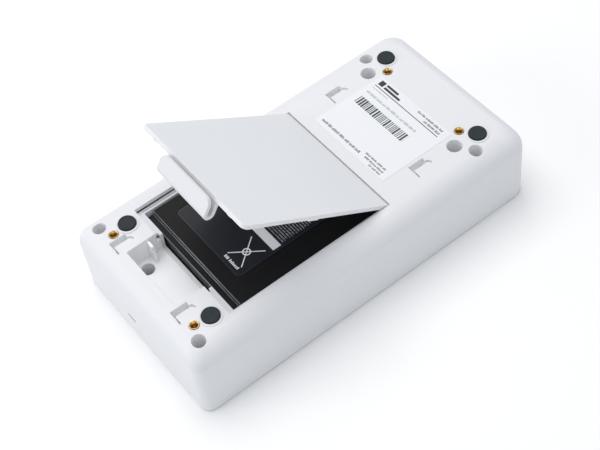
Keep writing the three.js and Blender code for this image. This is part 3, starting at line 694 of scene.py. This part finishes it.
def makeRatingLabel():
    low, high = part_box("rating_label")
    label = roundedSheet("ratingLabel", low, high, ratingShape["corner"])
    hand(label, "case", labelFilm, ["rating_label"])
    top = high.z
    x0, x1, y, thick = ratingShape["rule"]
    bold = [[x0, x1, y - thick / 2, y + thick / 2]]
    bold += ratingShape["blocks"]
    printBars("ratingPrintBold", bold, top, "case", darkInk)
    rows = []
    for row in ratingShape["rows"]:
        rows += wordRow(*row)
    for index, (left, right, line) in enumerate(ratingShape["smallRows"]):
        rows += wordRow(left, right, line, 1.1, 6 + index, glyph=0.65)
    printBars("ratingPrintRows", rows, top, "case", greyInk)
    printBars("ratingPrintFine", wordRow(-25, -13, 67.3, 0.8, 9, glyph=0.5) +
              wordRow(-25, 14, 63.2, 1.5, 10, word=3), top, "case", paleInk)
    printBars("ratingCodeBars", codeBars(*ratingShape["code"], 21), top, "case", codeInk)


makeRatingLabel()
print("rating label ready")


# door

doorShape = {"thick": 2.4, "cornerLeft": 1.8, "cornerRight": 3.2, "edge": 0.4, "rimWall": 1.5,
             "recess": 0.5, "knuckle": 1.6, "pin": 0.9, "pinReach": 2.2, "tabs": (-55.0, -48.3),
             "tabWide": 1.4, "stepLeft": -31, "stepRight": 28, "stepLong": 3, "ribDrop": 0.5}


def swungOpen(piece):
    # from the closed door's hinge frame to its place at rest
    hinge = hinges["door_hinge"]
    piece.rotation_euler = Euler((math.radians(hinge["range_deg"][0]), 0, 0))
    piece.location = hinge["pos_m"]
    settle(piece)


def makeDoor():
    half = (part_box("battery_door")[1].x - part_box("battery_door")[0].x) / 2 - doorShape["pinReach"] * mm
    hingeY = hinges["door_hinge"]["pos_m"][1]
    low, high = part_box("battery_door")
    turn = math.radians(-hinges["door_hinge"]["range_deg"][0])
    top = doorShape["knuckle"] * mm
    under = top - doorShape["thick"] * mm
    reach = (hingeY - low.y + under * math.sin(turn)) / math.cos(turn)
    door = newBlock("doorPanel", (-half, -reach, under), (half, 0, top))
    for side, corner in ((-1, "cornerLeft"), (1, "cornerRight")):
        selectIn(door, edges=lambda a, b: abs(a.z - b.z) > mm and a.y < -reach / 2
                 and a.x * side > half / 2)
        bpy.ops.mesh.bevel(offset=doorShape[corner] * mm, segments=10, affect="EDGES")
        objectMode()
    selectIn(door, faces=lambda c, n: n.z < -0.9)
    bpy.ops.mesh.inset(thickness=doorShape["rimWall"] * mm)
    bpy.ops.mesh.inset(thickness=0.1 * mm, depth=-doorShape["recess"] * mm)
    objectMode()
    softenEdges(door, doorShape["edge"] * mm, segments=3, angle=50)
    knuckle = newRod("knuckle", doorShape["knuckle"] * mm * 0.999, (-half + 0.05 * mm, 0, 0),
                     (half - 0.05 * mm, 0, 0), 32)
    joinOn(door, knuckle)
    pins = newRod("pins", doorShape["pin"] * mm, (-half - doorShape["pinReach"] * mm, 0, 0),
                  (half + doorShape["pinReach"] * mm, 0, 0), 24)
    joinOn(door, pins)
    for side in (-1, 1):
        inner, outer = half - doorShape["tabWide"] * mm, half - 0.02 * mm
        x0, x1 = sorted((side * inner, side * outer))
        tab = newBlock("tab", (x0, doorShape["tabs"][0] * mm, under - doorShape["ribDrop"] * mm),
                       (x1, doorShape["tabs"][1] * mm, under + 0.6 * mm))
        joinOn(door, tab)
        stepX = doorShape["stepRight" if side > 0 else "stepLeft"] * mm
        stepLong = doorShape["stepLong"] * mm
        step = newBlock("step", (stepX, -reach + 0.5 * mm, under - doorShape["ribDrop"] * mm),
                        (stepX + stepLong, -reach + stepLong, under + 0.6 * mm))
        joinOn(door, step)
    notch = newBlock("notch", (-31 * mm, -reach - mm, under - 0.3 * mm),
                     (-29.4 * mm, -reach + 0.9 * mm, under + 0.7 * mm))
    cutAway(door, notch)
    smooth(door, 35)
    swungOpen(door)
    # painted light: the door wears the lighter copy of the white plastic
    hand(door, "door", doorPlasticPaintedLight, ["battery_door"])
    return reach, top, under


doorReach, doorTop, doorUnder = makeDoor()
print("door ready")


# latch

latchShape = {"sheet": 2.0, "back": 2.6, "front": 3.8, "depth": 12.6, "tipDrop": 1.0, "gap": 0.3,
              "corner": 4.0, "edge": 0.3}


def makeLatch():
    low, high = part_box("door_latch")
    sheet = latchShape["sheet"] * mm
    backY = -doorReach + latchShape["back"] * mm
    frontY = -doorReach - latchShape["front"] * mm
    bend = (backY - frontY) / 2
    middleY = (backY + frontY) / 2
    bendZ = doorTop - latchShape["depth"] * mm + bend
    rootZ = doorUnder - latchShape["gap"] * mm
    tipZ = doorTop - latchShape["tipDrop"] * mm
    latch = newBlock("doorLatch", (low.x, backY - sheet, bendZ), (high.x, backY, rootZ))
    selectIn(latch, faces=lambda c, n: n.z < -0.9)
    bpy.ops.mesh.spin(steps=14, angle=math.pi, center=(0, middleY, bendZ), axis=(1, 0, 0))
    bpy.ops.mesh.extrude_region_move(TRANSFORM_OT_translate={"value": (0, 0, tipZ - bendZ)})
    objectMode()
    outwards(latch)
    selectIn(latch, edges=lambda a, b: min(a.z, b.z) > tipZ - 0.01 * mm and abs(a.x - b.x) < 1e-7)
    bpy.ops.mesh.bevel(offset=latchShape["corner"] * mm, segments=3, affect="EDGES")
    objectMode()
    softenEdges(latch, latchShape["edge"] * mm, segments=3, angle=50)
    smooth(latch, 35)
    swungOpen(latch)
    hand(latch, "latch", latchPlastic, ["door_latch"])


makeLatch()
print("latch ready")


# battery pack

packShape = {"step": 3.8, "drop": 2.4, "wall": 1.2, "edge": 0.7, "baseEdge": 0.5, "labelCorner": 2.5}


def makePackTop():
    low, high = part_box("pack_upper_shell")
    stepY = low.y + packShape["step"] * mm
    ledgeZ = high.z - packShape["drop"] * mm
    shell = newBlock("packTop", (low.x, stepY, low.z), high)
    makeActive(shell)
    bpy.ops.object.mode_set(mode="EDIT")
    bpy.ops.mesh.select_all(action="SELECT")
    bpy.ops.mesh.bisect(plane_co=(0, 0, ledgeZ), plane_no=(0, 0, 1))
    objectMode()
    selectIn(shell, faces=lambda c, n: n.y < -0.9 and c.z < ledgeZ)
    bpy.ops.mesh.extrude_region_move(TRANSFORM_OT_translate={"value": (0, low.y - stepY, 0)})
    objectMode()
    selectIn(shell, faces=lambda c, n: n.z < -0.9)
    bpy.ops.mesh.delete(type="FACE")
    objectMode()
    outwards(shell)
    selectIn(shell, edges=lambda a, b: min(a.z, b.z) > low.z + mm)
    bpy.ops.mesh.bevel(offset=packShape["edge"] * mm, segments=4, affect="EDGES", clamp_overlap=True)
    objectMode()
    applyModifier(shell, "SOLIDIFY", thickness=packShape["wall"] * mm, offset=-1, use_even_offset=True)
    labelLow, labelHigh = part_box("pack_label")
    seat = roundedSheet("seat", labelLow - Vector((0.3, 0.3, 0.1)) * mm,
                        Vector((labelHigh.x + 0.3 * mm, labelHigh.y + 0.3 * mm, high.z + mm)),
                        packShape["labelCorner"])
    cutAway(shell, seat)
    smooth(shell, 35)
    hand(shell, "pack", blackPlastic, ["pack_upper_shell"])
    # painted highlight: faces of the near top edge and ledge edge that face up and towards the near end get
    # the light grey finish
    refinish(shell, packEdgeHighlight, lambda c, n: n.y < -0.45 and n.z > 0.45)
    lower = refined("pack_lower_shell", "packBase", packShape["baseEdge"] * mm)
    hand(lower, "pack", blackPlastic, ["pack_lower_shell"])


markShape = {"at": (14.5, -46.8), "long": 9.5, "thin": 0.55, "ring": 2.3}


def crossedRing():
    # a plain ring with two crossed bars
    x, y = markShape["at"]
    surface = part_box("pack_label")[1].z + 0.004 * mm
    clearSelection()
    bpy.ops.mesh.primitive_cylinder_add(radius=markShape["ring"] * mm, depth=0.016 * mm, vertices=40,
                                        location=(x * mm, y * mm, surface + 0.008 * mm))
    ring = bpy.context.object
    settle(ring)
    selectIn(ring, faces=lambda c, n: abs(n.z) > 0.9)
    bpy.ops.mesh.inset(thickness=0.7 * mm)
    bpy.ops.mesh.bridge_edge_loops()
    objectMode()
    parts = [ring]
    for angle in (38, -38):
        bar = newBlock("bar", (-markShape["long"] * mm, -markShape["thin"] / 2 * mm, 0),
                       (markShape["long"] * mm, markShape["thin"] / 2 * mm, 0.016 * mm))
        bar.rotation_euler = Euler((0, 0, math.radians(angle + 90)))
        bar.location = (x * mm, y * mm, surface + (0.001 if angle > 0 else 0.003) * mm)
        settle(bar)
        parts.append(bar)
    hand(together(parts, "packMark"), "pack", whiteInk)


def labelOutline():
    low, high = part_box("pack_label")
    rim = Vector((0.35, 0.35, 0)) * mm
    sheet = roundedSheet("packOutline", Vector((low.x, low.y, high.z + 0.003 * mm)) + rim,
                         Vector((high.x, high.y, high.z + 0.018 * mm)) - rim, packShape["labelCorner"])
    selectIn(sheet, faces=lambda c, n: abs(n.z) > 0.9)
    bpy.ops.mesh.inset(thickness=0.22 * mm)
    bpy.ops.mesh.bridge_edge_loops()
    objectMode()
    hand(sheet, "pack", dimInk)


def makePackLabel():
    low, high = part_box("pack_label")
    label = roundedSheet("packLabel", low, high, packShape["labelCorner"])
    hand(label, "pack", packFilm, ["pack_label"])
    labelOutline()
    crossedRing()
    rows = wordRow(9.0, 20.6, -56.0, 1.6, 31, glyph=1.0)
    rows += [[5.0, 22.6, -36.4, -31.4]]
    printBars("packPrintBold", rows, high.z, "pack", whiteInk)
    fine = []
    for index in range(13):
        fine += wordRow(9, 22, -29.6 + 1.45 * index, 0.6, 40 + index, glyph=0.55)
    printBars("packPrintFine", fine, high.z, "pack", paleInk)


makePackTop()
makePackLabel()
print("pack ready")


# inside pieces that keep their own shape

def boardFinish():
    material, nodes, links = newMaterial("solderMask")
    shader = nodes["Principled BSDF"]
    tracks = nodes.new("ShaderNodeTexBrick")
    tracks.inputs["Scale"].default_value = 420
    tracks.inputs["Mortar Size"].default_value = 0.08
    tracks.inputs["Color1"].default_value = srgb(28, 88, 54)
    tracks.inputs["Color2"].default_value = srgb(32, 98, 60)
    tracks.inputs["Mortar"].default_value = srgb(58, 128, 84)
    place = nodes.new("ShaderNodeTexCoord")
    links.new(place.outputs["Object"], tracks.inputs["Vector"])
    links.new(tracks.outputs["Color"], shader.inputs["Base Color"])
    shader.inputs["Roughness"].default_value = 0.35
    relief(nodes, links, shader, tracks.outputs["Fac"], 0.3, 0.03 * mm)
    return material


def finishInside():
    solderMask = boardFinish()
    starts = {"main_board": solderMask, "pack_board": solderMask, "board_screw": steel,
              "docking_connector": blackPartAndSlitShade, "docking_contact": nickel,
              "battery_contact_block": blackPartAndSlitShade, "battery_contact_": nickel,
              "harness_plug": creamPlug, "contact_harness": redSleeve, "power_coil": blackPartAndSlitShade,
              "control_chip": blackPartAndSlitShade, "filter_capacitor": canFinish, "cell_strap": nickel,
              "cell_": cellSleeve, "pack_terminals": nickel}
    for name, node in frame["nodes"].items():
        if node.hide_render:
            continue
        for start, material in starts.items():
            if name.startswith(start):
                wear(node, material)
                break


finishInside()
print("inside ready")
